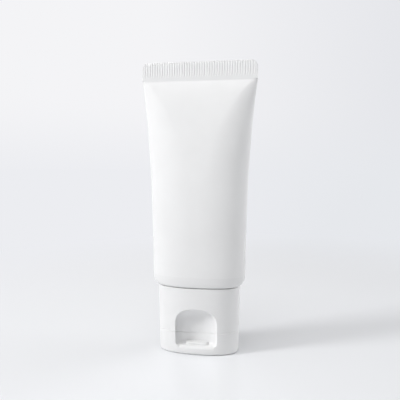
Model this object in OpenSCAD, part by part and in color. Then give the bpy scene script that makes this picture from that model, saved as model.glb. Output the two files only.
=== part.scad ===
// Squeeze tube for a face cream, standing on its flip-top cap.
// An oval plastic sleeve is welded to a moulded head and sealed flat at its far end.
// The oval cap snaps on the head's neck, and its lid swings on a film hinge at the back.
// The origin is on the floor under the middle of the lid. The thumb recess faces -Y.

/* [Sleeve] */
// Width of the oval sleeve where it meets the head
sleeve_w = 38.2; // [36:0.2:42]
// Depth of the oval sleeve where it meets the head
sleeve_d = 18.4; // [17.6:0.2:22]
// Thickness of the sleeve's wall
sleeve_wall = 0.5; // [0.4:0.05:0.7]
// Length of the sleeve from the head to the crimp
sleeve_l = 79; // [60:1:110]
// How far below the crimp the cream ends
air_gap = 9; // [6:1:20]

/* [Crimp] */
// Height of the sealed end, smooth band and ribs together
crimp_h = 7.1; // [5:0.1:10]
// Height of the smooth band under the ribs
crimp_band = 1.3; // [0.8:0.1:2]
// Distance from one rib to the next
rib_pitch = 1.02; // [0.9:0.02:1.6]
// How far a rib stands proud of the smooth band
rib_proud = 0.12; // [0.06:0.02:0.2]
// Radius of the two free corners of the crimp
crimp_corner_r = 2.8; // [1:0.2:4]

/* [Head] */
// Height of the rounded shoulder
shoulder_h = 4.2; // [3:0.1:6]
// How far the shoulder steps in at each side, down to the cap
shoulder_in_w = 2.2; // [1.4:0.1:3]
// How far the shoulder steps in at the front and back, down to the cap
shoulder_in_d = 0.8; // [0.6:0.1:1.2]
// Thickness of the head's wall
head_wall = 1; // [0.8:0.1:1.2]
// Height of the rim that the sleeve is welded to
lap_h = 2.6; // [2:0.1:4]
// Radius of the neck
neck_r = 5; // [4.6:0.1:5.4]
// Length of the neck
neck_l = 7; // [6:0.1:7.2]
// Thickness of the neck's wall
neck_wall = 1.1; // [0.9:0.1:1.4]
// Radius of the hole in the neck's end
neck_hole_r = 2.2; // [1.8:0.1:2.6]

/* [Cap] */
// Height of the closed cap
cap_h = 27.4; // [26:0.2:32]
// Height of the lid
lid_h = 9.2; // [8.4:0.1:10]
// Thickness of the cap's walls
cap_wall = 1.2; // [1:0.1:1.4]
// How much narrower each side of the cap is at the floor than at its rim
cap_draft = 0.4; // [0:0.1:0.6]
// Thickness of the lid's face and of the deck behind it
plate_t = 1.5; // [1.2:0.1:1.8]
// Radius of the edge that the cap stands on
foot_r = 1; // [0.6:0.1:1.4]
// Height of the land on the deck that the closed lid sits round
land_h = 1; // [0.6:0.1:1.4]

/* [Thumb recess] */
// Width of the recess
recess_w = 17; // [14:0.5:18]
// Depth of the recess in the front wall
recess_d = 4.5; // [4.3:0.05:4.6]
// Height of the recess's floor above the ground
recess_floor = 3.6; // [3.2:0.1:4]
// Radius of the floor's front edge
ledge_r = 1.3; // [0.6:0.1:1.6]
// Height of the top of the recess above the ground
recess_top = 19; // [17:0.2:19.2]
// Width of the thumb lip on the recess's floor
lip_w = 9.2; // [6:0.2:11]
// Height of the thumb lip
lip_h = 0.9; // [0.6:0.1:1.2]
// Depth of the recess's floor left free in front of the lip
lip_setback = 2.2; // [1.2:0.1:2.6]

/* [Spout] */
// Radius of the spout's hole
spout_hole_r = 1.5; // [1.2:0.1:1.6]
// Outer radius of the spout's tip
spout_r = 2.2; // [2.1:0.05:2.3]
// How far the spout stands out of the deck
spout_l = 3; // [2.4:0.1:3.6]
// How far the lid's plug enters the spout
plug_in = 1.2; // [0.8:0.05:1.25]

/* [Hinge] */
// Width of the film hinge
hinge_w = 10; // [8:0.5:12]
// Thickness of the film
film_t = 0.3; // [0.2:0.05:0.4]
// Height of the film, from the base's pad to the lid's pad
film_h = 1.5; // [1.2:0.1:2]

/* [Clearances] */
// Line between the lid and the base
parting_gap = 0.15; // [0.1:0.01:0.2]
// Gap between the cap's rim and the shoulder
rim_gap = 0.35; // [0.2:0.05:0.5]
// Clearance between parts that are snapped or welded together
fit_gap = 0.05; // [0.03:0.01:0.08]
// Clearance between the lid and what it closes over
lid_gap = 0.25; // [0.2:0.05:0.35]
// Clearance of the plug in the spout's hole
plug_gap = 0.1; // [0.06:0.01:0.14]

/* [Hidden] */

white = [0.95, 0.95, 0.95];
natural_white = [0.9, 0.91, 0.92];
beige = [0.85, 0.68, 0.54];

// Shape of the oval section: 2 is an ellipse, and more is squarer.
oval_n = 2.4;
crimp_n = 2.0;
recess_n = 2.4;
dome_n = 2.3;
oval_points = 56;
recess_points = 36;
sleeve_rings = 20;
shoulder_rings = 6;
overlap = 0.4;
tiny = 0.01;
round_fn = 48;

cap_half_w = sleeve_w / 2 - shoulder_in_w;
cap_half_d = sleeve_d / 2 - shoulder_in_d;
shoulder_z = cap_h + rim_gap;
sleeve_z = shoulder_z + shoulder_h;
crimp_z = sleeve_z + sleeve_l;
top_z = crimp_z + crimp_h;
neck_z = shoulder_z - neck_l;
girth = girth_of(sleeve_w / 2, sleeve_d / 2, oval_n);
flat_w = girth / 2;

// An oval ring of points at height z, with half axes a and b.
function oval(a, b, n, z, points = oval_points, y = 0) =
    [for (i = [0 : points - 1])
        let (c = cos(360 * i / points), s = sin(360 * i / points))
        [a * sign(c) * pow(abs(c), 2 / n), y + b * sign(s) * pow(abs(s), 2 / n), z]];

function sum_of(list, i = 0) = i == len(list) ? 0 : list[i] + sum_of(list, i + 1);

// The way round an oval. The sleeve is one sheet, so every section of it has the same one.
function girth_of(a, b, n) =
    let (ring = oval(a, b, n, 0), count = len(ring))
    sum_of([for (i = [0 : count - 1]) norm(ring[(i + 1) % count] - ring[i])]);

function half_depth(a, n, lo = 0, hi = 20, steps = 14) =
    let (mid = (lo + hi) / 2)
    steps == 0 ? mid
    : girth_of(a, mid, n) < girth ? half_depth(a, n, mid, hi, steps - 1)
    : half_depth(a, n, lo, mid, steps - 1);

function mix(p, q, t) = p + (q - p) * t;

// How the sleeve opens out from the oval, at 0, to the flat crimp, at 1.
function flare(t) = 0.55 * pow(t, 1.5) + 0.45 * pow(t, 3.5);

// [half width, half depth, section shape] of the sleeve's outside at t.
function sleeve_section(t) =
    let (a = mix(sleeve_w / 2, flat_w / 2, flare(t)), n = mix(oval_n, crimp_n, t * t))
    [a, max(sleeve_wall, half_depth(a, n)), n];

function sleeve_t(z) = (z - sleeve_z) / sleeve_l;

// One ring of the sleeve, moved in from its outside.
function sleeve_ring(t, inset) =
    let (s = sleeve_section(t))
    oval(s[0] - inset, s[1] - inset, s[2], sleeve_z + sleeve_l * t);

// Levels from the head to the crimp, closer together where the sleeve closes.
sleeve_levels = [for (i = [0 : sleeve_rings]) 1 - pow(1 - i / sleeve_rings, 1.6)];

// Every second level, for the surfaces inside, as far as the sleeve is open there.
cavity_end = 0.985;
inner_levels = [for (i = [0 : 2 : sleeve_rings]) if (sleeve_levels[i] < cavity_end) sleeve_levels[i]];

// A ring of the cap at height z, moved in from its outside.
function cap_ring(z, inset = 0) =
    let (draft = cap_draft * (1 - z / cap_h))
    oval(cap_half_w - draft - inset, cap_half_d - draft - inset, oval_n, z);

// A ring of the rounded shoulder: turn 0 is its underside and 90 its top.
function shoulder_ring(turn, inset) =
    oval(cap_half_w + shoulder_in_w * sin(turn) - inset,
         cap_half_d + shoulder_in_d * sin(turn) - inset,
         oval_n,
         mix(shoulder_z + inset, sleeve_z, 1 - cos(turn)));

shoulder_turns = [for (i = [0 : shoulder_rings]) 90 * i / shoulder_rings];

function reversed(list) = [for (i = [len(list) - 1 : -1 : 0]) list[i]];

// A closed solid through a list of rings, flat at its first and last.
module loft(rings) {
    n = len(rings[0]);
    last = (len(rings) - 1) * n;
    sides = [for (j = [0 : len(rings) - 2], i = [0 : n - 1])
        let (p = j * n + i, q = j * n + (i + 1) % n)
        each [[p, p + n, q + n], [p, q + n, q]]];
    ends = [[for (i = [0 : n - 1]) i], [for (i = [n - 1 : -1 : 0]) last + i]];
    polyhedron([for (ring = rings) each ring], concat(sides, ends), convexity = 8);
}

// Tube

// The ribbed plate, seen from above. Its ribs run up the crimp.
module rib_outline() {
    count = floor((flat_w - rib_pitch) / rib_pitch);
    start = -count * rib_pitch / 2;
    low = sleeve_wall - rib_proud;
    high = sleeve_wall + rib_proud;
    face = [for (i = [0 : count - 1], k = [0 : 3])
        [start + (i + [0.1, 0.4, 0.6, 0.9][k]) * rib_pitch, [low, high, high, low][k]]];
    back = [for (p = reversed(face)) [p[0], -p[1]]];
    ends = flat_w / 2;
    polygon(concat([[-ends, -low], [-ends, low]], face, [[ends, low], [ends, -low]], back));
}

// The crimp's outline, seen from the front, with its two round corners.
module crimp_outline() {
    r = crimp_corner_r;
    half = flat_w / 2;
    turns = [0 : 15 : 90];
    right = [for (t = turns) [half - r + r * cos(t), crimp_h - r + r * sin(t)]];
    left = [for (p = reversed(right)) [-p[0], p[1]]];
    polygon(concat([[-half, -overlap], [half, -overlap]], right, left));
}

module crimp() {
    intersection() {
        union() {
            translate([-flat_w / 2, -sleeve_wall, -overlap])
                cube([flat_w, 2 * sleeve_wall, crimp_band + overlap]);
            translate([0, 0, crimp_band - tiny])
                linear_extrude(crimp_h - crimp_band + 1) rib_outline();
        }
        rotate([90, 0, 0])
            linear_extrude(4 * sleeve_wall, center = true) crimp_outline();
    }
}

module tube_sleeve() {
    inside = [for (t = reversed(inner_levels)) sleeve_ring(t, sleeve_wall)];
    outside = [for (t = sleeve_levels) sleeve_ring(t, 0)];
    color(white) union() {
        loft(concat([sleeve_ring(cavity_end, sleeve_wall)], inside, outside));
        translate([0, 0, crimp_z]) crimp();
    }
}

// The inside of the head, from the shoulder's floor to the rim, moved in by inset.
function head_inside(inset) =
    concat(
        [for (turn = shoulder_turns) shoulder_ring(turn, head_wall + sleeve_wall + inset)],
        [oval(sleeve_w / 2 - sleeve_wall - head_wall - inset,
              sleeve_d / 2 - sleeve_wall - head_wall - inset, oval_n, sleeve_z + lap_h)]);

module neck_bead(grow) {
    bead_h = 1.4;
    bead_out = 0.4;
    translate([0, 0, neck_z + neck_l / 3])
        rotate_extrude($fn = round_fn)
            polygon([[neck_r - 1, -grow], [neck_r + bead_out + grow, bead_h / 3 - grow],
                     [neck_r + bead_out + grow, bead_h * 2 / 3 + grow], [neck_r - 1, bead_h + grow]]);
}

// Two lugs that keep the oval cap in line with the oval sleeve.
module neck_lugs(grow) {
    lug_w = 1.4;
    lug_out = 0.5;
    lug_h = 2.2;
    reach = 2 * (neck_r + lug_out + grow);
    translate([-reach / 2, -lug_w / 2 - grow, shoulder_z - lug_h - grow])
        cube([reach, lug_w + 2 * grow, lug_h + grow + tiny]);
}

module tube_head() {
    web = head_wall;
    underside = [for (turn = shoulder_turns) shoulder_ring(turn, 0)];
    rim = [for (z = [sleeve_z, sleeve_z + lap_h])
        let (s = sleeve_section(sleeve_t(z)), inset = sleeve_wall + fit_gap)
        oval(s[0] - inset, s[1] - inset, s[2], z)];
    color(natural_white) difference() {
        union() {
            loft(concat(underside, rim, reversed(head_inside(0))));
            translate([0, 0, neck_z]) cylinder(r = neck_r, h = neck_l + head_wall, $fn = round_fn);
            neck_bead(0);
            neck_lugs(0);
        }
        translate([0, 0, neck_z + web])
            cylinder(r = neck_r - neck_wall, h = neck_l + 3 * head_wall, $fn = round_fn);
        translate([0, 0, neck_z - 1])
            cylinder(r = neck_hole_r, h = web + 2, $fn = round_fn);
    }
}

// The cream fills the sleeve, the head and the neck, up to the air under the crimp.
module cream_fill() {
    fill_t = 1 - air_gap / sleeve_l;
    lap_t = lap_h / sleeve_l;
    in_sleeve = [for (t = inner_levels) if (t > lap_t * 1.5 && t < fill_t - 0.01) t];
    levels = concat([lap_t + tiny / 4], in_sleeve, [fill_t]);
    color(beige) union() {
        loft(concat(head_inside(fit_gap),
                    [for (t = levels) sleeve_ring(t, sleeve_wall + fit_gap)]));
        translate([0, 0, neck_z + head_wall + fit_gap])
            cylinder(r = neck_r - neck_wall - fit_gap, h = neck_l + 2 * head_wall, $fn = round_fn);
    }
}

// Cap

// The hollow of the thumb recess, with round corners at its floor and a domed top.
// It is centred on the cap's front face, so its front half stands outside.
// With reach it goes on below the floor.
module recess(grow = 0, reach = 0) {
    corner_w = 1.2;
    corner_d = 1.2;
    corner_h = 1.2;
    dome_h = 6.4;
    face_y = cap_draft / 2 - cap_half_d;
    half_w = recess_w / 2 + grow;
    half_d = recess_d + grow;
    low = [for (turn = [0 : 30 : 90])
        let (in = 1 - sin(turn))
        oval(half_w - corner_w * in, half_d - corner_d * in, recess_n,
             recess_floor - grow + corner_h * (1 - cos(turn)), recess_points, face_y)];
    dome = [for (turn = [0 : 12 : 84])
        let (s = pow(cos(turn), 2 / dome_n))
        oval(half_w * s, half_d * s, recess_n,
             recess_top - dome_h + (dome_h + grow) * pow(sin(turn), 2 / dome_n),
             recess_points, face_y)];
    below = oval(half_w - corner_w, half_d - corner_d, recess_n,
                 recess_floor - grow - reach, recess_points, face_y);
    loft(concat(reach > 0 ? [below] : [], low, dome));
}

recess_wall = 0.8;

// What the recess takes out of the lid. It rounds the front edge of the recess's floor.
// The round starts just outside the cap's face, so the two surfaces cross cleanly.
module lid_recess() {
    outside = 0.03;
    below = cap_ring(recess_floor - ledge_r - 1, -1);
    edge = [for (turn = [0 : 22.5 : 90])
        cap_ring(recess_floor - ledge_r * (1 - sin(turn)) + outside,
                 ledge_r * (1 - cos(turn)) - outside)];
    difference() {
        recess(0, ledge_r);
        loft(concat([below], edge));
    }
}

// The wall round the recess, from z_low to z_high, held inside the cap's own wall.
// Under the recess's floor it is solid.
module recess_shell(z_low, z_high) {
    sunk = cap_wall / 2;
    intersection() {
        recess(recess_wall, recess_floor);
        loft([cap_ring(z_low, sunk), cap_ring(z_high, sunk)]);
    }
}

base_z = lid_h + parting_gap / 2;
lid_z = lid_h - parting_gap / 2;
deck_z = base_z + plate_t;
seat_t = 1.2;
seat_z = neck_z - fit_gap - seat_t;
spout_z = base_z - spout_l;
flow_r = cap_half_d - cap_draft / 2 - recess_d - recess_wall + 0.1;

// The pads and the film stand just clear of the cap's back, behind the parting line.
hinge_y = cap_half_d - cap_draft * (1 - lid_h / cap_h) + fit_gap + film_t / 2;

// A pad for the hinge, drawn for the base and turned over for the lid.
module hinge_pad() {
    pad_h = 2.6;
    back = hinge_y + film_t / 2;
    sunk = back - film_t - cap_wall / 2;
    rotate([90, 0, 90])
        linear_extrude(hinge_w + 1, center = true)
            polygon([[sunk, film_h / 2], [back, film_h / 2], [back, film_h / 2 + pad_h * 0.4],
                     [sunk, film_h / 2 + pad_h]]);
}

// The collar that snaps over the neck, with the way through to the spout below it.
module collar() {
    collar_wall = 1.2;
    collar_r = neck_r + fit_gap + collar_wall;
    rib_t = 1;
    translate([0, 0, seat_z])
        cylinder(r = collar_r, h = cap_h - 1 - seat_z, $fn = round_fn);
    translate([0, 0, base_z])
        cylinder(r = flow_r, h = seat_z - base_z + tiny, $fn = round_fn);
    translate([-collar_r, -rib_t / 2, base_z + plate_t / 2])
        cube([2 * collar_r, rib_t, seat_z - base_z]);
    translate([0, 0, spout_z])
        cylinder(r1 = spout_r, r2 = spout_r + 0.05, h = spout_l + plate_t / 2, $fn = round_fn);
}

module collar_bore() {
    translate([0, 0, neck_z - fit_gap])
        cylinder(r = neck_r + fit_gap, h = cap_h, $fn = round_fn);
    translate([0, 0, spout_z - 1])
        cylinder(r = spout_hole_r, h = cap_h, $fn = round_fn);
    neck_bead(fit_gap);
    neck_lugs(fit_gap);
}

// The land that the closed lid sits round. It keeps clear of the lid's recess wall.
module land() {
    inset = cap_wall + lid_gap;
    difference() {
        loft([cap_ring(base_z - land_h, inset), cap_ring(base_z + plate_t / 2, inset)]);
        recess(recess_wall + lid_gap);
    }
}

module cap_base() {
    lip = 0.25;
    color(white) difference() {
        union() {
            loft([cap_ring(base_z), cap_ring(cap_h - lip), cap_ring(cap_h, lip),
                  cap_ring(cap_h, cap_wall), cap_ring(deck_z, cap_wall)]);
            recess_shell(base_z + plate_t / 2, cap_h - 2);
            land();
            collar();
            translate([0, 0, lid_h]) hinge_pad();
        }
        recess();
        collar_bore();
    }
}

module cap_lid() {
    plug_r = spout_hole_r - plug_gap;
    plug_top = spout_z + plug_in;
    lip_front = cap_half_d - cap_draft / 2 - lip_setback;
    lip_depth = recess_d - lip_setback + recess_wall / 2;
    foot = [for (turn = [0 : 30 : 90]) cap_ring(foot_r * (1 - cos(turn)), foot_r * (1 - sin(turn)))];
    color(white) union() {
        difference() {
            union() {
                loft(concat(foot, [cap_ring(lid_z), cap_ring(lid_z, cap_wall),
                                   cap_ring(plate_t, cap_wall)]));
                recess_shell(plate_t / 2, lid_z);
                translate([0, 0, lid_h]) mirror([0, 0, 1]) hinge_pad();
            }
            lid_recess();
        }
        translate([-lip_w / 2, -lip_front, recess_floor - overlap])
            cube([lip_w, lip_depth, lip_h + overlap]);
        translate([0, 0, plate_t - overlap])
            cylinder(r = plug_r, h = plug_top - plug_r - plate_t + overlap, $fn = round_fn);
        translate([0, 0, plug_top - plug_r]) sphere(r = plug_r, $fn = round_fn);
    }
}

module hinge_film() {
    color(white)
        translate([-hinge_w / 2, hinge_y - film_t / 2, lid_h - film_h / 2])
            cube([hinge_w, film_t, film_h]);
}

tube_sleeve();
tube_head();
cream_fill();
cap_base();
cap_lid();
hinge_film();
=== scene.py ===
import math

import bmesh
import bpy
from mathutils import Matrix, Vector


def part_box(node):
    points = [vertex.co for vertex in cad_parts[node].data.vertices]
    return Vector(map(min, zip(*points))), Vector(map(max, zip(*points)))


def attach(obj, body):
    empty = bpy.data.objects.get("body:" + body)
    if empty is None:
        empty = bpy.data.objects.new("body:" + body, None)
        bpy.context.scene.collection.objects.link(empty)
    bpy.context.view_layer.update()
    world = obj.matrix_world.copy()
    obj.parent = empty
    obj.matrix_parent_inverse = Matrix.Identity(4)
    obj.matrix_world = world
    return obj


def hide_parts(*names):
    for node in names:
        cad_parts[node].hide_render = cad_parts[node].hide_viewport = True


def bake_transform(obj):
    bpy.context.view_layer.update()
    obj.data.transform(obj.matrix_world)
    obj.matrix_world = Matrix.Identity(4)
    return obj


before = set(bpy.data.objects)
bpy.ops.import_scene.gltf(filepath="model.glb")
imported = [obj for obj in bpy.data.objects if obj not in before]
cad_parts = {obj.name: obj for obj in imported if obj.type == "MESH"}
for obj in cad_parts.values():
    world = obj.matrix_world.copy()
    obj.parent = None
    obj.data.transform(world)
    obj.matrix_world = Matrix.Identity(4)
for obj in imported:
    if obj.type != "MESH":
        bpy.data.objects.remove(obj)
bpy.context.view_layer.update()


# The moulded head of the tube, injection moulded in one piece of hard polyethylene: a round
# shoulder that shows between the sleeve and the cap, a rim inside the sleeve, and a neck with a
# snap bead that points down into the cap. The sleeve is welded round its rim.
mm = 0.001
head_low, head_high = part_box("tube_head")
sleeve_low, sleeve_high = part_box("tube_sleeve")
cap_low, cap_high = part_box("cap_base")
head_half_w = head_high.x
head_half_d = head_high.y
sleeve_foot_z = sleeve_low.z
cap_rim_z = cap_high.z
cap_half_w = cap_high.x
cap_half_d = -cap_low.y
# The power of the cap's and sleeve's oval: 2 is an ellipse, and a higher one is squarer.
oval_power = 2.4
sleeve_wall = 0.5 * mm
weld_gap = 0.05 * mm
head_wall = 1.0 * mm
rim_gap = 0.35 * mm
shoulder_z = cap_rim_z + rim_gap
neck_r = 5.0 * mm
neck_bore_r = 3.9 * mm
neck_hole_r = 2.2 * mm
neck_edge = 0.5 * mm
neck_z = head_low.z
bead_out = 0.4 * mm
bead_h = 1.4 * mm
bead_z = neck_z + (shoulder_z - neck_z) / 3
lug_half_w = 0.7 * mm
lug_out = 0.5 * mm
lug_low_z = shoulder_z - 2.2 * mm
lug_high_z = shoulder_z + 0.2 * mm
bar_edge_r = 0.1 * mm
# How finely the surfaces are cut: points round the tube, and rows up the shoulder.
around = 224
outer_steps, inner_steps = 20, 8
# The look of the plastics: faint clouds in colour and sheen, and a fine grain.
clouds_per_metre = 90
cloud_shade = 0.975
sheen_spread = 0.04
grain_strength = 0.35


def oval_curve(half_w, half_d, power, first_turn, last_turn, steps, panel=0.0):
    """Points along an oval that is squarer than an ellipse, between two turns in degrees.

    panel is half the width of a flat part in the middle of its long sides."""
    points = []
    for step in range(steps + 1):
        turn = math.radians(first_turn + (last_turn - first_turn) * step / steps)
        c, s = math.cos(turn), math.sin(turn)
        x = math.copysign(panel + abs(c) ** (2 / power) * (half_w - panel), c)
        y = math.copysign(abs(s) ** (2 / power), s) * half_d
        points.append((x, y))
    return points


def even_steps(path, count, trim=0.0):
    """count points at even distances along a path, leaving trim out at each end."""
    lengths = [0.0]
    for a, b in zip(path, path[1:]):
        lengths.append(lengths[-1] + math.dist(a, b))
    points = []
    i = 0
    for step in range(count):
        goal = trim + (lengths[-1] - 2 * trim) * step / (count - 1)
        while i < len(path) - 2 and lengths[i + 1] < goal:
            i += 1
        span = lengths[i + 1] - lengths[i]
        share = (goal - lengths[i]) / span if span > 0 else 0.0
        points.append(tuple(p + (q - p) * share for p, q in zip(path[i], path[i + 1])))
    return points


def oval_ring(half_w, half_d, power, z, panel=0.0):
    """A closed ring of even steps round an oval at height z, from its right end."""
    curve = oval_curve(half_w, half_d, power, 0, 360, 4 * around, panel)
    return [(x, y, z) for x, y in even_steps(curve, around + 1)[:-1]]


def round_ring(radius, z, count=around):
    """A closed ring round the tube's axis at height z."""
    turns = [2 * math.pi * i / count for i in range(count)]
    return [(radius * math.cos(t), radius * math.sin(t), z) for t in turns]


def loft(mesh, rings, ends):
    """Adds the surface through rings of equal count. ends is 'joined', 'flat' or 'open'."""
    loops = [[mesh.verts.new(p) for p in ring] for ring in rings]
    pairs = list(zip(loops, loops[1:]))
    if ends == "joined":
        pairs.append((loops[-1], loops[0]))
    for lower, upper in pairs:
        for i in range(len(lower)):
            k = (i + 1) % len(lower)
            mesh.faces.new((lower[i], lower[k], upper[k], upper[i]))
    if ends == "flat":
        mesh.faces.new(loops[0][::-1])
        mesh.faces.new(loops[-1])
    return loops


def bar(mesh, outline, low_x, high_x, edge):
    """Adds a bar that runs along X with an outline of (y, z), its edges rounded."""
    loops = loft(mesh, [[(x, y, z) for y, z in outline] for x in (low_x, high_x)], "flat")
    edges = {e for loop in loops for corner in loop for e in corner.link_edges}
    bmesh.ops.bevel(mesh, geom=list(edges), offset=edge, segments=3, profile=0.5, affect="EDGES")


def side_bar(mesh, side, near, far, half_w, low_z, high_z):
    """Adds a square bar on one side, between two distances from the axis."""
    outline = [(-half_w, low_z), (half_w, low_z), (half_w, high_z), (-half_w, high_z)]
    bar(mesh, outline, *sorted((side * near, side * far)), bar_edge_r)


def moulding(name, mesh, sharp_angle=40):
    """Turns the built surfaces into a piece that is smooth up to its sharp edges."""
    bmesh.ops.recalc_face_normals(mesh, faces=mesh.faces)
    data = bpy.data.meshes.new(name)
    mesh.to_mesh(data)
    mesh.free()
    data.polygons.foreach_set("use_smooth", [True] * len(data.polygons))
    data.set_sharp_from_angle(angle=math.radians(sharp_angle))
    piece = bpy.data.objects.new(name, data)
    bpy.context.collection.objects.link(piece)
    return piece


def satin_plastic(name, colour, roughness, grain_size, grain_depth):
    """White moulded plastic: a soft sheen with faint clouding and a fine moulded grain."""
    material = bpy.data.materials.new(name)
    material.use_nodes = True
    nodes, links = material.node_tree.nodes, material.node_tree.links
    shader = nodes["Principled BSDF"]
    place = nodes.new("ShaderNodeTexCoord")
    cloud = nodes.new("ShaderNodeTexNoise")
    cloud.inputs["Scale"].default_value = clouds_per_metre
    cloud.inputs["Detail"].default_value = 3
    links.new(place.outputs["Object"], cloud.inputs["Vector"])
    tint = nodes.new("ShaderNodeValToRGB")
    tint.color_ramp.elements[0].position = 0.3
    tint.color_ramp.elements[0].color = [c * cloud_shade for c in colour] + [1]
    tint.color_ramp.elements[1].position = 0.7
    tint.color_ramp.elements[1].color = list(colour) + [1]
    links.new(cloud.outputs["Fac"], tint.inputs["Fac"])
    links.new(tint.outputs["Color"], shader.inputs["Base Color"])
    sheen = nodes.new("ShaderNodeMapRange")
    sheen.inputs["To Min"].default_value = roughness - sheen_spread
    sheen.inputs["To Max"].default_value = roughness + sheen_spread
    links.new(cloud.outputs["Fac"], sheen.inputs["Value"])
    links.new(sheen.outputs["Result"], shader.inputs["Roughness"])
    grain = nodes.new("ShaderNodeTexNoise")
    grain.inputs["Scale"].default_value = 1 / grain_size
    grain.inputs["Detail"].default_value = 4
    links.new(place.outputs["Object"], grain.inputs["Vector"])
    bump = nodes.new("ShaderNodeBump")
    bump.inputs["Strength"].default_value = grain_strength
    bump.inputs["Distance"].default_value = grain_depth
    links.new(grain.outputs["Fac"], bump.inputs["Height"])
    links.new(bump.outputs["Normal"], shader.inputs["Normal"])
    shader.inputs["IOR"].default_value = 1.5
    return material


def shoulder_rings(inset, steps):
    """The round shoulder from its underside up to where the sleeve starts, moved in by inset."""
    rings = []
    for step in range(steps + 1):
        turn = math.pi / 2 * step / steps
        half_w = cap_half_w + (head_half_w - cap_half_w) * math.sin(turn) - inset
        half_d = cap_half_d + (head_half_d - cap_half_d) * math.sin(turn) - inset
        low_z = shoulder_z + inset
        z = low_z + (sleeve_foot_z - low_z) * (1 - math.cos(turn))
        rings.append(oval_ring(half_w, half_d, oval_power, z))
    return rings


rim_inset = sleeve_wall + weld_gap
inside_inset = sleeve_wall + head_wall
head_rings = shoulder_rings(0, outer_steps)
for inset, z in (
    (rim_inset, sleeve_foot_z),
    (rim_inset, head_high.z),
    (inside_inset, head_high.z),
):
    head_rings.append(oval_ring(head_half_w - inset, head_half_d - inset, oval_power, z))
head_rings += shoulder_rings(inside_inset, inner_steps)[::-1]
for radius, z in (
    (neck_bore_r, shoulder_z + head_wall),
    (neck_bore_r, neck_z + head_wall),
    (neck_hole_r, neck_z + head_wall),
    (neck_hole_r, neck_z),
    (neck_r - neck_edge, neck_z),
    (neck_r, neck_z + neck_edge),
    (neck_r, bead_z),
    (neck_r + bead_out, bead_z + bead_h / 3),
    (neck_r + bead_out, bead_z + bead_h * 2 / 3),
    (neck_r, bead_z + bead_h),
    (neck_r, shoulder_z),
):
    head_rings.append(round_ring(radius, z))
head_mesh = bmesh.new()
loft(head_mesh, head_rings, "joined")
for side in (-1, 1):
    side_bar(head_mesh, side, neck_r - lug_out, neck_r + lug_out, lug_half_w,
             lug_low_z, lug_high_z)
tube_head = moulding("tube_head_moulding", head_mesh)
head_white = (0.80, 0.80, 0.80)
head_look = satin_plastic("head_plastic", head_white, roughness=0.4, grain_size=0.25 * mm,
                          grain_depth=0.004 * mm)
tube_head.data.materials.append(head_look)
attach(tube_head, "tube")
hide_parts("tube_head")


# The sleeve: an extruded sheet of soft polyethylene, half a millimetre thick, cut to length and
# welded round the head. Its girth is the same all the way up, so it gets wider as it gets flatter.
# After filling, its end is pressed between ribbed jaws into the crimp, with its corners cut round.
crimp_half_w = sleeve_high.x
crimp_h = 7.1 * mm
crimp_z = sleeve_high.z - crimp_h
crimp_band = 1.3 * mm
crimp_corner_r = 2.8 * mm
rib_pitch = 1.02 * mm
rib_proud = 0.065 * mm
rib_rise = 0.35 * mm
rib_fade = 0.2 * mm
columns_per_rib = 16
# How the section goes over from the oval at the head to the flat crimp: (share, power) pairs for
# its width, the power of its rounded sides at the crimp, and the flat panel between them.
flare_terms = ((0.55, 1.5), (0.45, 3.5))
flat_power = 1.55
panel_share = 0.93
panel_rise = 3.0
sleeve_rows = 72
row_crowding = 1.6
inner_row_step = 4
cavity_end = 0.985
girth_steps = 60
depth_halvings = 18


def girth(half_w, half_d, power, panel=0.0):
    """The way round an oval."""
    quarter = oval_curve(half_w, half_d, power, 0, 90, girth_steps, panel)
    return 4 * (sum(math.dist(a, b) for a, b in zip(quarter, quarter[1:])) + panel)


sleeve_girth = girth(head_half_w, head_half_d, oval_power)


def sleeve_section(t):
    """Half width, half depth, power and flat part at t, from 0 at the head to 1 at the crimp.

    The depth is the one that gives the section the girth of the whole sleeve."""
    flare = sum(share * t ** rise for share, rise in flare_terms)
    half_w = head_half_w + (crimp_half_w - head_half_w) * flare
    power = oval_power + (flat_power - oval_power) * t * t
    panel = half_w * panel_share * t ** panel_rise
    low, high = 0.0, 2 * head_half_d
    for _ in range(depth_halvings):
        middle = (low + high) / 2
        if girth(half_w, middle, power, panel) < sleeve_girth:
            low = middle
        else:
            high = middle
    return half_w, min(head_half_d, max(sleeve_wall, high)), power, panel


def sleeve_ring(t, inset):
    """One ring of the sleeve, moved in from its outside."""
    half_w, half_d, power, panel = sleeve_section(t)
    z = sleeve_foot_z + (crimp_z - sleeve_foot_z) * t
    return oval_ring(half_w - inset, half_d - inset, power, z, panel)


sleeve_levels = [1 - (1 - i / sleeve_rows) ** row_crowding for i in range(sleeve_rows + 1)]
inner_levels = [t for t in sleeve_levels[::inner_row_step] if t < cavity_end]
sleeve_mesh = bmesh.new()
sleeve_inside = [sleeve_ring(t, sleeve_wall) for t in [cavity_end] + inner_levels[::-1]]
sleeve_outside = [sleeve_ring(t, 0) for t in sleeve_levels]
loft(sleeve_mesh, sleeve_inside + sleeve_outside, "flat")

rib_count = int((2 * crimp_half_w - rib_pitch) / rib_pitch)
ribs_half_w = rib_count * rib_pitch / 2
corner_x = crimp_half_w - crimp_corner_r
half_columns = rib_count * columns_per_rib // 2
crimp_columns = [corner_x * i / half_columns for i in range(-half_columns, half_columns + 1)]
for degrees in range(3, 93, 3):
    past = crimp_corner_r * math.sin(math.radians(degrees))
    crimp_columns = [-corner_x - past] + crimp_columns + [corner_x + past]


def crimp_top(x):
    """Height of the crimp's edge above its foot, with its round corners."""
    past = max(0.0, abs(x) - corner_x)
    return crimp_h - crimp_corner_r + math.sqrt(max(0.0, crimp_corner_r ** 2 - past ** 2))


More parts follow.
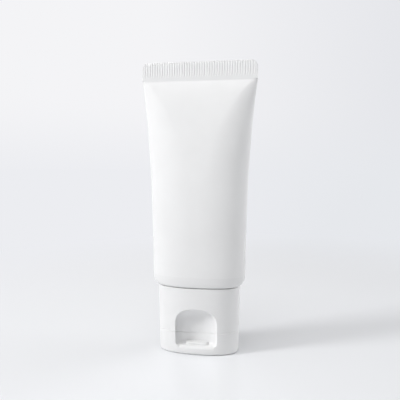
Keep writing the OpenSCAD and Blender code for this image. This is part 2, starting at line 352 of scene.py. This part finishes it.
def crimp_half_t(x, z):
    """Half the crimp's thickness: a smooth band, then ribs that rise out of it."""
    wave = -math.cos(2 * math.pi * (x + ribs_half_w) / rib_pitch)
    rise = min(1.0, max(0.0, (z - crimp_band) / rib_rise))
    fade = min(1.0, max(0.0, (ribs_half_w - abs(x)) / rib_fade))
    return sleeve_wall + rib_proud * wave * rise * fade


# The rows of points up the crimp: its foot inside the sleeve, the smooth band, the rise of the
# ribs, the ribs, and the rounded edge as (depth below the edge, share of the thickness).
foot_drop = 0.5 * mm
foot_share = 0.1
band_rows = (-foot_drop, 0.0, crimp_band / 2, crimp_band)
rise_rows = tuple(crimp_band + step * 0.12 * mm for step in (1, 2, 3))
rib_rows = 5
edge_h = 0.14 * mm
edge_share = 0.42
edge_rows = ((edge_h, 1.0), (0.06 * mm, 0.86), (0.02 * mm, 0.68), (0.0, edge_share))
crimp_front, crimp_back = [], []
for x in crimp_columns:
    top = crimp_top(x)
    run = top - edge_h - rise_rows[-1]
    heights = band_rows + rise_rows
    heights += tuple(rise_rows[-1] + run * i / rib_rows for i in range(1, rib_rows))
    column = [(z, crimp_half_t(x, z) * (foot_share if z < 0 else 1.0)) for z in heights]
    column += [(top - down, crimp_half_t(x, top - down) * share) for down, share in edge_rows]
    end = min(1.0, (crimp_half_w - abs(x)) / edge_h)
    tuck = edge_share + (1 - edge_share) * math.sqrt(max(0.0, 1 - (1 - end) ** 2))
    crimp_front.append([(x, -half_t * tuck, crimp_z + z) for z, half_t in column])
    crimp_back.append([(x, half_t * tuck, crimp_z + z) for z, half_t in column])
loft(sleeve_mesh, [front + back[::-1] for front, back in zip(crimp_front, crimp_back)], "flat")
sleeve = moulding("tube_sleeve_skin", sleeve_mesh)
sleeve_white = (0.82, 0.82, 0.82)
sleeve_look = satin_plastic("sleeve_plastic", sleeve_white, roughness=0.36, grain_size=0.5 * mm,
                            grain_depth=0.004 * mm)
sleeve.data.materials.append(sleeve_look)
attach(sleeve, "tube")
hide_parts("tube_sleeve")


# The cream: a soft beige emulsion, filled in through the open end before the crimp is pressed.
# It takes the shape of the sleeve, the head and the neck, and leaves some air under the crimp.
cream_gap = 0.1 * mm
cream_beige = (0.62, 0.39, 0.25)
cream_low, cream_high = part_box("cream_fill")
cream_r = neck_bore_r - cream_gap
cream_inset = inside_inset + cream_gap
sleeve_run = crimp_z - sleeve_foot_z
fill_t = (cream_high.z - sleeve_foot_z) / sleeve_run
lap_t = (head_high.z + cream_gap - sleeve_foot_z) / sleeve_run
# The levels between the first and the last one in the sleeve, clear of both.
fill_levels = [t for t in inner_levels if lap_t * 1.5 < t < fill_t - 0.01]
cream_rings = [round_ring(cream_r, z) for z in (cream_low.z, shoulder_z + head_wall + cream_gap)]
cream_rings += shoulder_rings(cream_inset, inner_steps)
cream_rings.append(oval_ring(head_half_w - cream_inset, head_half_d - cream_inset, oval_power,
                             head_high.z))
cream_rings += [sleeve_ring(t, sleeve_wall + cream_gap) for t in [lap_t] + fill_levels + [fill_t]]
cream_mesh = bmesh.new()
loft(cream_mesh, cream_rings, "flat")
cream = moulding("cream", cream_mesh)
cream_look = satin_plastic("face_cream", cream_beige, roughness=0.3, grain_size=1.5 * mm,
                           grain_depth=0.05 * mm)
cream_shader = cream_look.node_tree.nodes["Principled BSDF"]
cream_shader.inputs["Subsurface Weight"].default_value = 0.3
cream_shader.inputs["Subsurface Scale"].default_value = 2 * mm
cream.data.materials.append(cream_look)
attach(cream, "tube")
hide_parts("cream_fill")


# The cap's base, injection moulded in polypropylene with a satin tool finish. Its oval skirt goes
# up to the tube's shoulder, and a collar inside it snaps over the neck's bead. The spout stands on
# its deck, and the front carries the upper part of the thumb recess, which ends in a soft arch.
lid_top_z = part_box("cap_lid")[1].z
film_low, film_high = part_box("hinge_film")
# The skirt, the parting line, and the land that the lid sits round.
cap_draft = 0.4 * mm
cap_wall = 1.2 * mm
plate_t = 1.5 * mm
parting_gap = 0.04 * mm
parting_dip = 1.3 * mm
lid_gap = 0.25 * mm
land_h = 1.0 * mm
land_edge = 0.12 * mm
base_z = lid_top_z + parting_gap
deck_z = base_z + plate_t
land_z = base_z - land_h
# The spout, with its fillet as (out from the spout, down from the land), and the collar, with the
# webs that carry it.
spout_r = 2.2 * mm
spout_bore_r = 1.5 * mm
spout_z = cap_low.z
spout_foot = ((0.3 * mm, 0.0), (0.1 * mm, 0.08 * mm), (0.0, 0.3 * mm))
spout_edge_r = 0.3 * mm
bore_edge_r = 0.12 * mm
fit_gap = 0.05 * mm
seat_t = 1.2 * mm
collar_low_z = neck_z - fit_gap - seat_t
collar_high_z = cap_rim_z - 1.0 * mm
collar_r = 6.25 * mm
flow_r = 3.0 * mm
web_half_w = 0.5 * mm
web_root = 0.1 * mm
web_sink = 0.2 * mm
# The pads of the hinge.
pad_half_w = film_high.x + 0.5 * mm
pad_back_y = film_high.y
pad_t = 0.9 * mm
pad_low_h = 1.04 * mm
pad_high_h = 2.6 * mm
pad_edge_r = 0.16 * mm
# The thumb recess, its rounded corners and its arch.
recess_half_w = 8.5 * mm
recess_d = 4.5 * mm
recess_floor = 3.6 * mm
recess_top = 19.0 * mm
recess_wall = 0.8 * mm
corner_w = 1.2 * mm
corner_d = 1.2 * mm
corner_h = 1.2 * mm
dome_h = 6.4 * mm
dome_z = recess_top - dome_h
dome_power = 2.3
# The soft edges. That of the recess is at most these shares of its half width and depth.
recess_edge_r = 0.3 * mm
edge_of_width, edge_of_depth = 0.2, 0.4
base_edge_r = 0.06 * mm
rim_edge_r = 0.25 * mm
inner_edge = 0.1 * mm
# How finely the surfaces are cut.
side_points, edge_points, recess_points = 132, 6, 60
side_steps, recess_steps = 720, 360
corner_halvings = 40
wall_rows, upper_rows = 5, 6
spout_around = 96


def recess_size(z, grow=0.0):
    """Half width and depth of the thumb recess at height z, with its wall moved out by grow."""
    half_w = recess_half_w + grow
    depth = recess_d + grow + cap_draft * (z / cap_rim_z - 0.5)
    low_z = recess_floor - grow
    if z < low_z + corner_h:
        tuck = 1 - math.sqrt(max(0.0, 1 - (1 - (z - low_z) / corner_h) ** 2))
        return half_w - corner_w * tuck, depth - corner_d * tuck
    if z > dome_z:
        share = max(0.0, 1 - ((z - dome_z) / (dome_h + grow)) ** dome_power) ** (1 / dome_power)
        return half_w * share, depth * share
    return half_w, depth


def parting_sag(across, z):
    """How far the parting line and the rows near it go down inside the recess."""
    reach = (dome_z - base_z) if z > base_z else (base_z - recess_floor - corner_h)
    near = max(0.0, 1 - abs(z - base_z) / reach)
    return parting_dip * near * max(0.0, 1 - across ** 4)


def rounded_corner(start, corner, end):
    """Points between start and end, on a curve that rounds off the corner between them."""
    curve = []
    for step in range(1, edge_points):
        s = step / edge_points
        curve.append(tuple(a * (1 - s) ** 2 + 2 * b * s * (1 - s) + c * s * s
                           for a, b, c in zip(start, corner, end)))
    return curve


def cap_ring(z, inset=0.0, grow=None, straight_at=None):
    """A ring round the cap at height z, moved in by inset, that goes in round the recess.

    With straight_at it goes straight across the front, with its points in step with those of a
    ring whose recess has its corners at that x."""
    draft = cap_draft * (1 - z / cap_rim_z)
    half_w, half_d = cap_half_w - draft - inset, cap_half_d - draft - inset
    width, depth = recess_size(z, inset if grow is None else grow)
    depth -= inset
    corner_x = straight_at
    if straight_at is None:
        low, high = 0.0, width
        for _ in range(corner_halvings):
            corner_x = (low + high) / 2
            outside = half_d * (1 - (corner_x / half_w) ** oval_power) ** (1 / oval_power)
            wall = half_d - depth * (1 - (corner_x / width) ** oval_power) ** (1 / oval_power)
            if wall < outside:
                low = corner_x
            else:
                high = corner_x
    turn = math.degrees(math.acos((corner_x / half_w) ** (oval_power / 2)))
    sides = oval_curve(half_w, half_d, oval_power, -turn, 180 + turn, side_steps)
    if straight_at is None:
        turn = math.degrees(math.acos((corner_x / width) ** (oval_power / 2)))
        hollow = oval_curve(width, depth, oval_power, 180 - turn, turn, recess_steps)
        front = [(x, y - half_d) for x, y in hollow]
        trim = min(recess_edge_r, edge_of_width * corner_x, edge_of_depth * depth)
    else:
        front = oval_curve(half_w, half_d, oval_power, 180 + turn, 360 - turn, recess_steps)
        trim = min(recess_edge_r, edge_of_width * corner_x)
    side_run = even_steps(sides, side_points, trim)
    front_run = even_steps(front, recess_points, trim)
    left = rounded_corner(side_run[-1], sides[-1], front_run[0])
    right = rounded_corner(front_run[-1], sides[0], side_run[0])
    ring = [(x, y, z) for x, y in side_run]
    for x, y in left + front_run + right:
        ring.append((x, y, z - parting_sag(x / corner_x, z)))
    return ring


def soft_edge(z, radius, up, steps=4):
    """(height, inset) down or up an edge with that radius, from its flat face to the wall."""
    rows = []
    for step in range(steps + 1):
        turn = math.pi / 2 * step / steps
        rise = radius * (1 - math.cos(turn))
        rows.append((z + rise if up else z - rise, radius * (1 - math.sin(turn))))
    return rows


def fill_face(mesh, *outlines):
    """Fills the flat face inside the first outline and round the others."""
    edges = []
    for outline in outlines:
        for a, b in zip(outline, outline[1:] + outline[:1]):
            edges.append(mesh.edges.get((a, b)) or mesh.edges.new((a, b)))
    bmesh.ops.triangle_fill(mesh, use_beauty=True, edges=edges)


def hinge_pad(mesh, z, up):
    """A pad for the film on the cap's back, from height z up or down, with a sloping end."""
    side = 1 if up else -1
    outline = [(pad_back_y - pad_t, z), (pad_back_y, z), (pad_back_y, z + side * pad_low_h),
               (pad_back_y - pad_t, z + side * pad_high_h)]
    bar(mesh, outline, -pad_half_w, pad_half_w, pad_edge_r)


land_inset = cap_wall + lid_gap
land_grow = recess_wall + lid_gap
dome_turns = [math.radians(a) for a in range(4, 92, 4)]
arch_levels = [dome_z + dome_h * math.sin(a) ** (2 / dome_power) for a in dome_turns]
arch_end_x = recess_size(arch_levels[-1])[0]
inner_turns = [math.radians(a) for a in range(78, 0, -6)]
inner_dome_h = dome_h + recess_wall
inner_arch = [dome_z + inner_dome_h * math.sin(a) ** (2 / dome_power) for a in inner_turns]
inner_end_x = recess_size(inner_arch[0], recess_wall)[0]

base_rings = [cap_ring(land_z, land_inset + land_edge, land_grow + land_edge)]
base_rings.append(cap_ring(land_z + land_edge, land_inset, land_grow))
base_rings.append(cap_ring(base_z, land_inset, land_grow))
base_rings += [cap_ring(z, inset) for z, inset in soft_edge(base_z, base_edge_r, up=True)]
wall_run = dome_z - base_z - base_edge_r
base_rings += [cap_ring(dome_z - wall_run * (1 - i / wall_rows)) for i in range(1, wall_rows + 1)]
base_rings += [cap_ring(z) for z in arch_levels]
upper_run = cap_rim_z - rim_edge_r - recess_top
upper_levels = [recess_top + upper_run * i / upper_rows for i in range(upper_rows + 1)]
base_rings += [cap_ring(z, straight_at=arch_end_x) for z in upper_levels]
rim_rows = soft_edge(cap_rim_z, rim_edge_r, up=False)[::-1][1:]
base_rings += [cap_ring(z, inset, straight_at=arch_end_x) for z, inset in rim_rows]
base_rings.append(cap_ring(cap_rim_z, cap_wall - inner_edge, straight_at=arch_end_x))
base_rings.append(cap_ring(cap_rim_z - inner_edge, cap_wall, straight_at=inner_end_x))
base_rings.append(cap_ring(inner_arch[0] + inner_edge, cap_wall, straight_at=inner_end_x))
base_rings += [cap_ring(z, cap_wall, recess_wall) for z in inner_arch + [dome_z, deck_z]]
base_mesh = bmesh.new()
base_loops = loft(base_mesh, base_rings, "open")

spout_profile = [(spout_r + out, land_z - down) for out, down in spout_foot]
outer_rows = soft_edge(spout_z, spout_edge_r, up=True)[::-1]
spout_profile += [(spout_r - inset, z) for z, inset in outer_rows]
bore_rows = soft_edge(spout_z, bore_edge_r, up=True)
spout_profile += [(spout_bore_r + inset, z) for z, inset in bore_rows]
spout_profile += [
    (spout_bore_r, neck_z - fit_gap),
    (neck_r + fit_gap, neck_z - fit_gap),
    (neck_r + fit_gap, bead_z - fit_gap),
    (neck_r + bead_out + fit_gap, bead_z + bead_h / 3 - fit_gap),
    (neck_r + bead_out + fit_gap, bead_z + bead_h * 2 / 3 + fit_gap),
    (neck_r + fit_gap, bead_z + bead_h + fit_gap),
    (neck_r + fit_gap, collar_high_z),
    (collar_r, collar_high_z),
    (collar_r, collar_low_z),
    (flow_r, collar_low_z),
    (flow_r, deck_z),
]
spout_rings = [round_ring(r, z, spout_around) for r, z in spout_profile]
spout_loops = loft(base_mesh, spout_rings, "open")
fill_face(base_mesh, base_loops[0], spout_loops[0])
fill_face(base_mesh, base_loops[-1], spout_loops[-1])
for side in (-1, 1):
    side_bar(base_mesh, side, flow_r - web_root, collar_r, web_half_w, deck_z - web_sink,
             collar_low_z + web_sink)
hinge_pad(base_mesh, film_high.z, up=True)
cap_base = moulding("cap_base_shell", base_mesh)
cap_white = (0.82, 0.82, 0.82)
cap_look = satin_plastic("cap_plastic", cap_white, roughness=0.34, grain_size=0.3 * mm,
                         grain_depth=0.004 * mm)
cap_base.data.materials.append(cap_look)
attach(cap_base, "tube")
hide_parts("cap_base")


# The lid, moulded together with the base and joined to it by the film. The tube stands on its flat
# face. Its front has the recess's floor with a low lip that the thumbnail lifts, and a round plug
# stands up inside it and closes the spout.
foot_r = 1.0 * mm
ledge_edge_r = 1.3 * mm
lid_edge_r = 0.18 * mm
long_steps = 9
corner_rows, lid_rows = 12, 4
inner_floor_z = recess_floor - recess_wall
inner_corner = (90, 70, 50, 35, 25)
plate_fillet = ((0.1 * mm, 0.05 * mm), (0.25 * mm, 0.0))
# The lip on the recess's floor: an oval pad that slopes down to the front.
lip_half_w = 4.6 * mm
lip_half_d = 2.7 * mm
lip_power = 6.0
lip_front_y = -6.0 * mm
lip_middle_y = lip_front_y + lip_half_d
lip_top_z = 4.4 * mm
lip_foot_z = lip_top_z - 1.2 * mm
lip_edge_r = 0.45 * mm
lip_slope = 0.12
lip_around = 96
# The plug, with its fillet as (out from the plug, up from the plate).
plug_gap = 0.1 * mm
plug_in = 1.2 * mm
plug_r = spout_bore_r - plug_gap
plug_tip_z = spout_z + plug_in
plug_foot = ((0.5 * mm, 0.0), (0.15 * mm, 0.1 * mm), (0.0, 0.4 * mm))
plug_around = 64
floor_corner_x = max(x for x, y, z in cap_ring(recess_floor)[side_points:])


def ledge_ring(z, step_in):
    """A ring at the front edge of the recess's floor, where only the front moves in."""
    straight = cap_ring(z, straight_at=floor_corner_x)
    floor = cap_ring(recess_floor)
    ring = straight[:side_points]
    for (x, y, _), (to_x, to_y, _) in zip(straight[side_points:], floor[side_points:]):
        run = math.hypot(to_x - x, to_y - y)
        share = min(1.0, step_in / run) if run > 0 else 0.0
        ring.append((x + (to_x - x) * share, y + (to_y - y) * share, z))
    return ring


lid_rings = [cap_ring(z, inset, straight_at=floor_corner_x)
             for z, inset in soft_edge(0.0, foot_r, up=True, steps=long_steps)]
ledge_rows = soft_edge(recess_floor, ledge_edge_r, up=False, steps=long_steps)[::-1]
lid_rings += [ledge_ring(z, inset) for z, inset in ledge_rows]
for step in range(corner_rows + 1):
    turn = math.pi / 2 * step / corner_rows
    lid_rings.append(cap_ring(recess_floor + corner_h * (1 - math.cos(turn))))
corner_top_z = recess_floor + corner_h
lid_run = lid_top_z - lid_edge_r - corner_top_z
lid_rings += [cap_ring(corner_top_z + lid_run * i / lid_rows) for i in range(1, lid_rows)]
edge_levels = soft_edge(lid_top_z, lid_edge_r, up=False)[::-1]
lid_rings += [cap_ring(z, inset) for z, inset in edge_levels]
lid_rings.append(cap_ring(lid_top_z, cap_wall - inner_edge, recess_wall - inner_edge))
lid_rings.append(cap_ring(lid_top_z - inner_edge, cap_wall, recess_wall))
for degrees in inner_corner:
    z = inner_floor_z + corner_h * (1 - math.cos(math.radians(degrees)))
    lid_rings.append(cap_ring(z, cap_wall, recess_wall))
for out, up in plate_fillet:
    lid_rings.append(cap_ring(plate_t + up, cap_wall + out, recess_wall + out))
lid_mesh = bmesh.new()
lid_loops = loft(lid_mesh, lid_rings, "open")
fill_face(lid_mesh, lid_loops[0])
plug_profile = [(plug_r + out, plate_t + up) for out, up in plug_foot]
for degrees in range(0, 85, 12):
    turn = math.radians(degrees)
    plug_profile.append((plug_r * math.cos(turn), plug_tip_z - plug_r * (1 - math.sin(turn))))
plug_rings = [round_ring(r, z, plug_around) for r, z in plug_profile]
plug_loops = loft(lid_mesh, plug_rings, "open")
fill_face(lid_mesh, lid_loops[-1], plug_loops[0])
lid_mesh.faces.new(plug_loops[-1])

lip_rings = []
lip_rows = [(lip_foot_z, 0.0)] + soft_edge(lip_top_z, lip_edge_r, up=False)[::-1]
for z, inset in lip_rows:
    curve = oval_curve(lip_half_w - inset, lip_half_d - inset, lip_power, 0, 360, side_steps)
    ring = even_steps(curve, lip_around + 1)[:-1]
    slope = lip_slope if z > recess_floor else 0.0
    lip_rings.append([(x, y + lip_middle_y, z + slope * (y + lip_half_d)) for x, y in ring])
loft(lid_mesh, lip_rings, "flat")
hinge_pad(lid_mesh, film_low.z, up=False)
cap_lid = moulding("cap_lid_shell", lid_mesh)
cap_lid.data.materials.append(cap_look)
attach(cap_lid, "lid")
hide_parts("cap_lid")


# The hinge's film: a strip of the cap's own plastic, moulded thin between the two pads so that it
# bends for thousands of turns. It is thinnest on the parting line.
film_steps = 24
film_waist = 0.04 * mm
film_bevel = 0.06 * mm
film_half_w = film_high.x
film_mesh = bmesh.new()
film_rings = []
for step in range(film_steps + 1):
    z = film_high.z + (film_low.z - film_high.z) * step / film_steps
    waist = film_waist * math.sin(math.pi * step / film_steps)
    low_y, high_y = film_low.y + waist, film_high.y - waist
    outline = ((film_half_w, low_y + film_bevel), (film_half_w, high_y - film_bevel),
               (film_half_w - film_bevel, high_y), (film_bevel - film_half_w, high_y),
               (-film_half_w, high_y - film_bevel), (-film_half_w, low_y + film_bevel),
               (film_bevel - film_half_w, low_y), (film_half_w - film_bevel, low_y))
    film_rings.append([(x, y, z) for x, y in outline])
loft(film_mesh, film_rings, "flat")
hinge_film = moulding("hinge_film_strip", film_mesh)
hinge_film.data.materials.append(cap_look)
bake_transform(hinge_film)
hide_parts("hinge_film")


# The table that the tube was photographed on: a pale, slightly glossy board that runs off into a
# white background, so that only the tube's soft shadow and reflection are left near it.
table_colour = (0.825, 0.835, 0.855)
# Painted shade on the far board and the backdrop: lighter on the left and darker on the right, as
# the light falls from the left.
far_lit_left, far_shaded_right = (0.839, 0.847, 0.879), (0.791, 0.807, 0.839)
heading_left, heading_right = -0.25, 0.22
fade_middle = (0.05, 0.03, 0)
fade_from, fade_to = 0.1, 0.3
table_mesh = bmesh.new()
bmesh.ops.create_grid(table_mesh, x_segments=8, y_segments=8, size=6)
table_data = bpy.data.meshes.new("table")
table_mesh.to_mesh(table_data)
table_mesh.free()
table = bpy.data.objects.new("table", table_data)
bpy.context.collection.objects.link(table)


def share_between(tree, value, low, high, eased=True):
    """How far a value has come from low to high, from 0 to 1."""
    share = tree.nodes.new("ShaderNodeMapRange")
    share.interpolation_type = "SMOOTHSTEP" if eased else "LINEAR"
    share.inputs["From Min"].default_value = low
    share.inputs["From Max"].default_value = high
    tree.links.new(value, share.inputs["Value"])
    return share.outputs["Result"]


def combined(tree, operation, first, second):
    """Two values joined by a math operation."""
    joined = tree.nodes.new("ShaderNodeMath")
    joined.operation = operation
    tree.links.new(first, joined.inputs[0])
    tree.links.new(second, joined.inputs[1])
    return joined.outputs["Value"]


def left_to_right(tree, across, left, right):
    """A colour that goes from left to right with the direction's share of X: the painted shade
    across the backdrop.
    """
    share = share_between(tree, across, heading_left, heading_right, eased=False)
    mix = tree.nodes.new("ShaderNodeMix")
    mix.data_type = "RGBA"
    mix.inputs["A"].default_value = left + (1,)
    mix.inputs["B"].default_value = right + (1,)
    tree.links.new(share, mix.inputs["Factor"])
    return mix.outputs["Result"]


table_look = bpy.data.materials.new("table_board")
table_look.use_nodes = True
tree = table_look.node_tree
nodes, links = tree.nodes, tree.links
board = nodes["Principled BSDF"]
board.inputs["Base Color"].default_value = table_colour + (1,)
board.inputs["Roughness"].default_value = 0.14
place = nodes.new("ShaderNodeTexCoord")
from_middle = nodes.new("ShaderNodeVectorMath")
from_middle.operation = "SUBTRACT"
from_middle.inputs[1].default_value = fade_middle
links.new(place.outputs["Object"], from_middle.inputs[0])
reach = nodes.new("ShaderNodeVectorMath")
reach.operation = "LENGTH"
links.new(from_middle.outputs["Vector"], reach.inputs[0])
fade = share_between(tree, reach.outputs["Value"], fade_from, fade_to)
rays = nodes.new("ShaderNodeLightPath")
seen = combined(tree, "MAXIMUM", rays.outputs["Is Camera Ray"], rays.outputs["Is Glossy Ray"])
faded = combined(tree, "MULTIPLY", fade, seen)
heading = nodes.new("ShaderNodeVectorMath")
heading.operation = "NORMALIZE"
links.new(place.outputs["Object"], heading.inputs[0])
part = nodes.new("ShaderNodeSeparateXYZ")
links.new(heading.outputs["Vector"], part.inputs["Vector"])
pale = nodes.new("ShaderNodeEmission")
shaded_backdrop = left_to_right(tree, part.outputs["X"], far_lit_left, far_shaded_right)
links.new(shaded_backdrop, pale.inputs["Color"])
blend = nodes.new("ShaderNodeMixShader")
links.new(faded, blend.inputs["Fac"])
links.new(board.outputs["BSDF"], blend.inputs[1])
links.new(pale.outputs["Emission"], blend.inputs[2])
links.new(blend.outputs["Shader"], nodes["Material Output"].inputs["Surface"])
table.data.materials.append(table_look)


# The studio: a soft box on the left casts the shadow. Larger ones stand in front, on the right
# and overhead, and the white tent round them fills in the rest. Those at the sides are hidden
# from shiny surfaces.
room_light = 0.165
# Painted shade on the backdrop behind the tube and in its sheen: higher up it is lighter on the
# left, and it darkens to the right.
high_lit_left, high_shaded_right = (0.904, 0.904, 0.923), (0.791, 0.799, 0.831)
climb_from, climb_to = -0.05, 0.15
world = bpy.data.worlds.new("studio")
bpy.context.scene.world = world
world.use_nodes = True
tree = world.node_tree
nodes, links = tree.nodes, tree.links
tent = nodes["Background"]
tent.inputs["Color"].default_value = (1, 1, 1, 1)
tent.inputs["Strength"].default_value = room_light
backdrop = nodes.new("ShaderNodeBackground")
place = nodes.new("ShaderNodeTexCoord")
part = nodes.new("ShaderNodeSeparateXYZ")
links.new(place.outputs["Generated"], part.inputs["Vector"])
wall = nodes.new("ShaderNodeMix")
wall.data_type = "RGBA"
links.new(share_between(tree, part.outputs["Z"], climb_from, climb_to), wall.inputs["Factor"])
links.new(left_to_right(tree, part.outputs["X"], far_lit_left, far_shaded_right), wall.inputs["A"])
links.new(left_to_right(tree, part.outputs["X"], high_lit_left, high_shaded_right), wall.inputs["B"])
links.new(wall.outputs["Result"], backdrop.inputs["Color"])
rays = nodes.new("ShaderNodeLightPath")
seen = combined(tree, "MAXIMUM", rays.outputs["Is Camera Ray"], rays.outputs["Is Glossy Ray"])
shown = combined(tree, "MAXIMUM", seen, rays.outputs["Is Transmission Ray"])
both = nodes.new("ShaderNodeMixShader")
links.new(shown, both.inputs["Fac"])
links.new(tent.outputs["Background"], both.inputs[1])
links.new(backdrop.outputs["Background"], both.inputs[2])
links.new(both.outputs["Shader"], nodes["World Output"].inputs["Surface"])


def soft_box(name, place, width, height, watts, mirrored=True):
    """A soft box at a place, turned towards the tube. mirrored lets shiny surfaces show it."""
    data = bpy.data.lights.new(name, "AREA")
    data.shape = "RECTANGLE"
    data.size, data.size_y = width, height
    data.energy = watts
    lamp = bpy.data.objects.new(name, data)
    lamp.visible_glossy = mirrored
    lamp.location = place
    lamp.rotation_euler = (tube_middle - Vector(place)).to_track_quat("-Z", "Y").to_euler()
    bpy.context.collection.objects.link(lamp)


tube_middle = Vector((0, 0, 0.06))
soft_box("left_box", (-0.874, -0.444, 0.560), 0.22, 0.22, 6.2, mirrored=False)
soft_box("front_box", (-0.530, -0.920, 0.252), 1.00, 0.80, 2.8)
soft_box("right_box", (1.018, 0.370, 0.252), 0.80, 0.80, 7.6, mirrored=False)
soft_box("top_box", (-0.142, -0.246, 1.122), 1.00, 1.00, 7.2)


# The camera: level with the middle of the tube, a little to its right, looking slightly down.
camera_data = bpy.data.cameras.new("camera")
camera_data.sensor_width = 36
camera_data.lens = 41.085
camera_data.clip_start = 0.01
camera = bpy.data.objects.new("camera", camera_data)
camera.location = (0.0328, -0.1839, 0.07707)
camera.rotation_euler = (math.radians(85.5), 0, math.radians(10))
bpy.context.collection.objects.link(camera)
bpy.context.scene.camera = camera
bpy.context.scene.view_settings.view_transform = "Standard"
